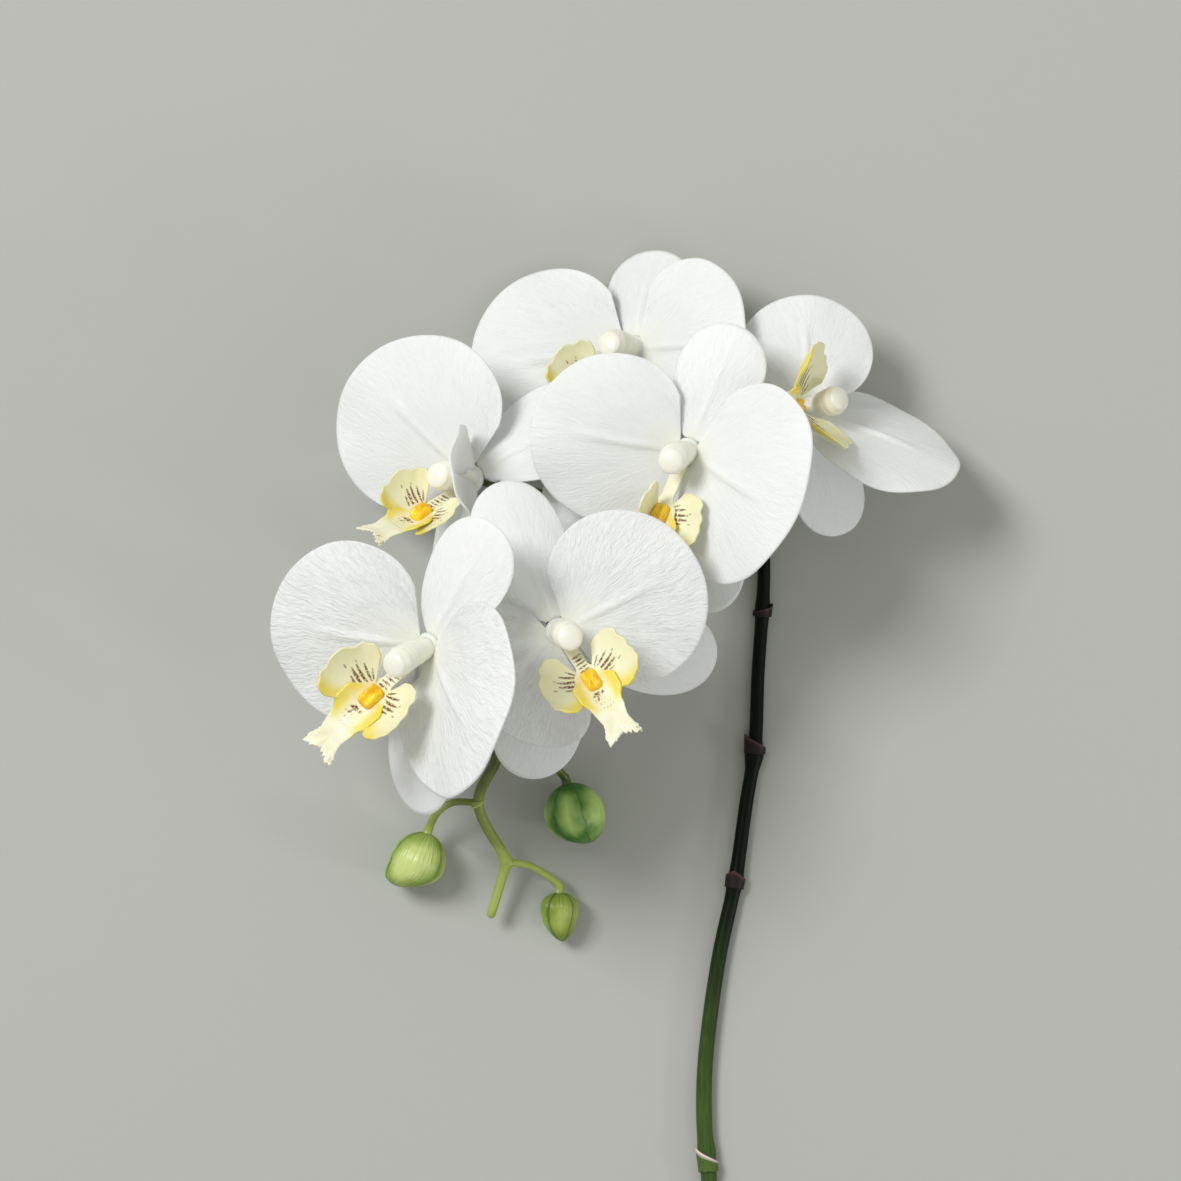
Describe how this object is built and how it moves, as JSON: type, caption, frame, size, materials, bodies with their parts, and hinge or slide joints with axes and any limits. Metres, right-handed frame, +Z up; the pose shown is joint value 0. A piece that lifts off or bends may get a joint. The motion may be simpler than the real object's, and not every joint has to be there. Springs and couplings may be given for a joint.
{
  "type": "orchid stem",
  "caption": "Cut spray of white moth orchid: open blooms with yellow-marked lips and closed green buds on one arching stem, lying down.",
  "frame": {"origin": "on the surface the stem lies on, under the middle of its box", "axes": "+Y along the stem from its cut end to its blooms, +Z up, the way the blooms face"},
  "size_m": [0.2447, 0.4489, 0.127],
  "materials": {
    "petal": "soft white petal, satin, finely veined",
    "lip": "waxy cream lip with yellow edges, brown dashes and an orange-yellow callus",
    "column": "smooth waxy ivory",
    "bud": "waxy green with darker seams",
    "stem": "dark green, satin, with brown bracts and a pale sheath"
  },
  "bodies": {
    "root": {"bloom_a_petal_left": "petal", "bloom_a_petal_right": "petal", "bloom_a_sepal_dorsal": "petal", "bloom_a_sepal_left": "petal", "bloom_a_sepal_right": "petal", "bloom_a_lip": "lip", "bloom_a_column": "column", "bloom_b_petal_left": "petal", "bloom_b_petal_right": "petal", "bloom_b_sepal_dorsal": "petal", "bloom_b_sepal_left": "petal", "bloom_b_sepal_right": "petal", "bloom_b_lip": "lip", "bloom_b_column": "column", "bloom_c_petal_left": "petal", "bloom_c_petal_right": "petal", "bloom_c_sepal_dorsal": "petal", "bloom_c_sepal_left": "petal", "bloom_c_sepal_right": "petal", "bloom_c_lip": "lip", "bloom_c_column": "column", "bloom_d_petal_left": "petal", "bloom_d_petal_right": "petal", "bloom_d_sepal_dorsal": "petal", "bloom_d_sepal_left": "petal", "bloom_d_sepal_right": "petal", "bloom_d_lip": "lip", "bloom_d_column": "column", "bloom_e_petal_left": "petal", "bloom_e_petal_right": "petal", "bloom_e_sepal_dorsal": "petal", "bloom_e_sepal_left": "petal", "bloom_e_sepal_right": "petal", "bloom_e_lip": "lip", "bloom_e_column": "column", "bloom_f_petal_left": "petal", "bloom_f_petal_right": "petal", "bloom_f_sepal_dorsal": "petal", "bloom_f_sepal_left": "petal", "bloom_f_sepal_right": "petal", "bloom_f_lip": "lip", "bloom_f_column": "column", "bud_1": "bud", "bud_2": "bud", "bud_3": "bud", "stem": "stem"}
  },
  "joints": []
}
